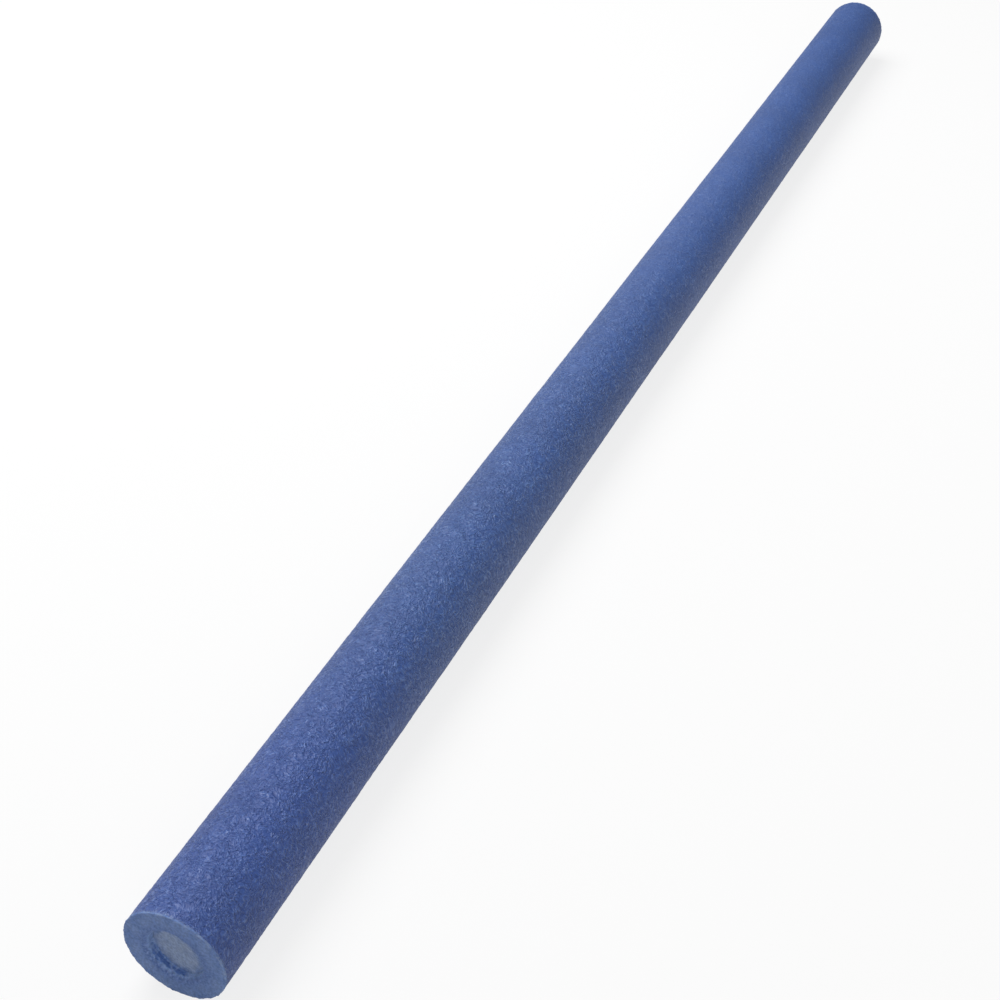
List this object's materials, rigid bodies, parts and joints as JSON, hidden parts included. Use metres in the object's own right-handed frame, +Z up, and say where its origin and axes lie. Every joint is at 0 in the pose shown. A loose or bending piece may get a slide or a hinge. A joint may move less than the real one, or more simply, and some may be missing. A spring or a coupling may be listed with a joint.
{
  "type": "pool noodle",
  "caption": "Long straight pool noodle: a thick closed-cell foam tube with a paler foam rod filling its bore, set back a little from both cut ends.",
  "frame": {"origin": "on the plane the noodle lies on, under the middle of its length", "axes": "+X along the noodle, towards the end that is far away in the picture; +Y across it; +Z up"},
  "size_m": [1.5, 0.065, 0.0645],
  "materials": {
    "blue_foam": "dull blue closed-cell polyethylene foam with a fine wrinkled extrusion skin and rough cut ends",
    "pale_foam": "dull pale grey-blue closed-cell polyethylene foam, torn rather than cut at its end"
  },
  "bodies": {
    "root": {"foam_tube": "blue_foam", "foam_core": "pale_foam"}
  },
  "joints": []
}
